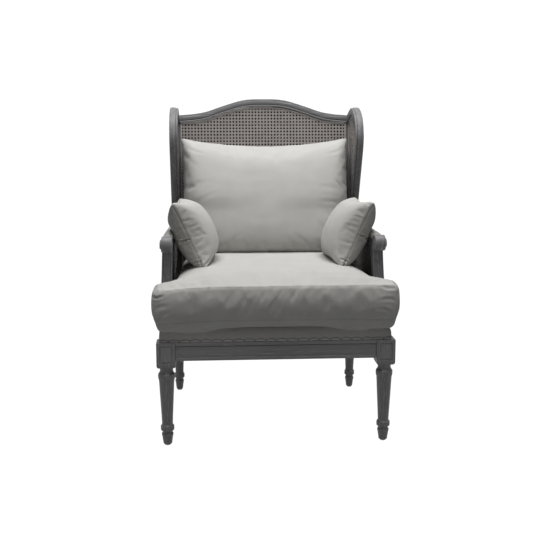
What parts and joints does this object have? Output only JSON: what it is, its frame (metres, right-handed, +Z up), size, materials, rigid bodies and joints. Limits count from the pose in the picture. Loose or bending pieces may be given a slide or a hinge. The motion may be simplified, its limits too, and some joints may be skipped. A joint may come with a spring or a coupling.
{
  "type": "fauteuil",
  "caption": "Wing armchair with a caned back, caned wings and sides, fluted turned legs, scrolled arms, a fixed padded seat and loose linen cushions.",
  "frame": {"origin": "middle of the chair's bounding box on the floor plane, under the glides", "axes": "+Z up, the chair faces -Y, +X to the right as seen from the front"},
  "size_m": [0.754, 0.7646, 1.067],
  "materials": {
    "wood": "grey limed oak, matt, open grain",
    "cane": "grey washed rattan cane and reed spline, satin",
    "linen": "plain woven natural linen, matt",
    "webbing": "jute webbing, matt",
    "lining": "thin black lining cloth, matt",
    "button": "horn coloured button, satin",
    "steel": "zinc plated"
  },
  "bodies": {
    "frame": {"front_rail": "wood", "back_rail": "wood", "crest_rail": "wood", "lower_back_rail": "wood", "left_front_leg": "wood", "right_front_leg": "wood", "left_rear_post": "wood", "right_rear_post": "wood", "left_side_rail": "wood", "right_side_rail": "wood", "left_front_corner_block": "wood", "right_front_corner_block": "wood", "left_rear_corner_block": "wood", "right_rear_corner_block": "wood", "left_arm_support": "wood", "right_arm_support": "wood", "left_arm": "wood", "right_arm": "wood", "left_wing_rail": "wood", "right_wing_rail": "wood", "back_cane_front": "cane", "back_cane_rear": "cane", "back_spline_front": "cane", "back_spline_rear": "cane", "left_wing_cane_inner": "cane", "right_wing_cane_inner": "cane", "left_wing_spline_inner": "cane", "right_wing_spline_inner": "cane", "left_side_cane_inner": "cane", "right_side_cane_inner": "cane", "left_side_spline_inner": "cane", "right_side_spline_inner": "cane", "left_wing_cane_outer": "cane", "right_wing_cane_outer": "cane", "left_wing_spline_outer": "cane", "right_wing_spline_outer": "cane", "left_side_cane_outer": "cane", "right_side_cane_outer": "cane", "left_side_spline_outer": "cane", "right_side_spline_outer": "cane", "left_front_glide": "steel", "right_front_glide": "steel", "left_rear_glide": "steel", "right_rear_glide": "steel", "seat_deck": "linen", "left_arm_pad": "linen", "right_arm_pad": "linen", "seat_webbing": "webbing", "dust_cover": "lining", "back_lining": "lining", "left_wing_lining": "lining", "right_wing_lining": "lining", "left_side_lining": "lining", "right_side_lining": "lining"},
    "seat_cushion": {"seat_cushion": "linen"},
    "back_cushion": {"back_cushion": "linen"},
    "left_pillow": {"left_pillow": "linen", "left_pillow_button": "button"},
    "right_pillow": {"right_pillow": "linen", "right_pillow_button": "button"}
  },
  "joints": [
    {"name": "seat_cushion_lift", "type": "slide", "parent": "frame", "child": "seat_cushion", "axis": [0, 0, 1], "range_m": [0, 0.3]},
    {"name": "back_cushion_lift", "type": "slide", "parent": "seat_cushion", "child": "back_cushion", "axis": [0, 0, 1], "range_m": [0, 0.25]},
    {"name": "left_pillow_lift", "type": "slide", "parent": "seat_cushion", "child": "left_pillow", "axis": [0, 0, 1], "range_m": [0, 0.2]},
    {"name": "right_pillow_lift", "type": "slide", "parent": "seat_cushion", "child": "right_pillow", "axis": [0, 0, 1], "range_m": [0, 0.2]}
  ]
}
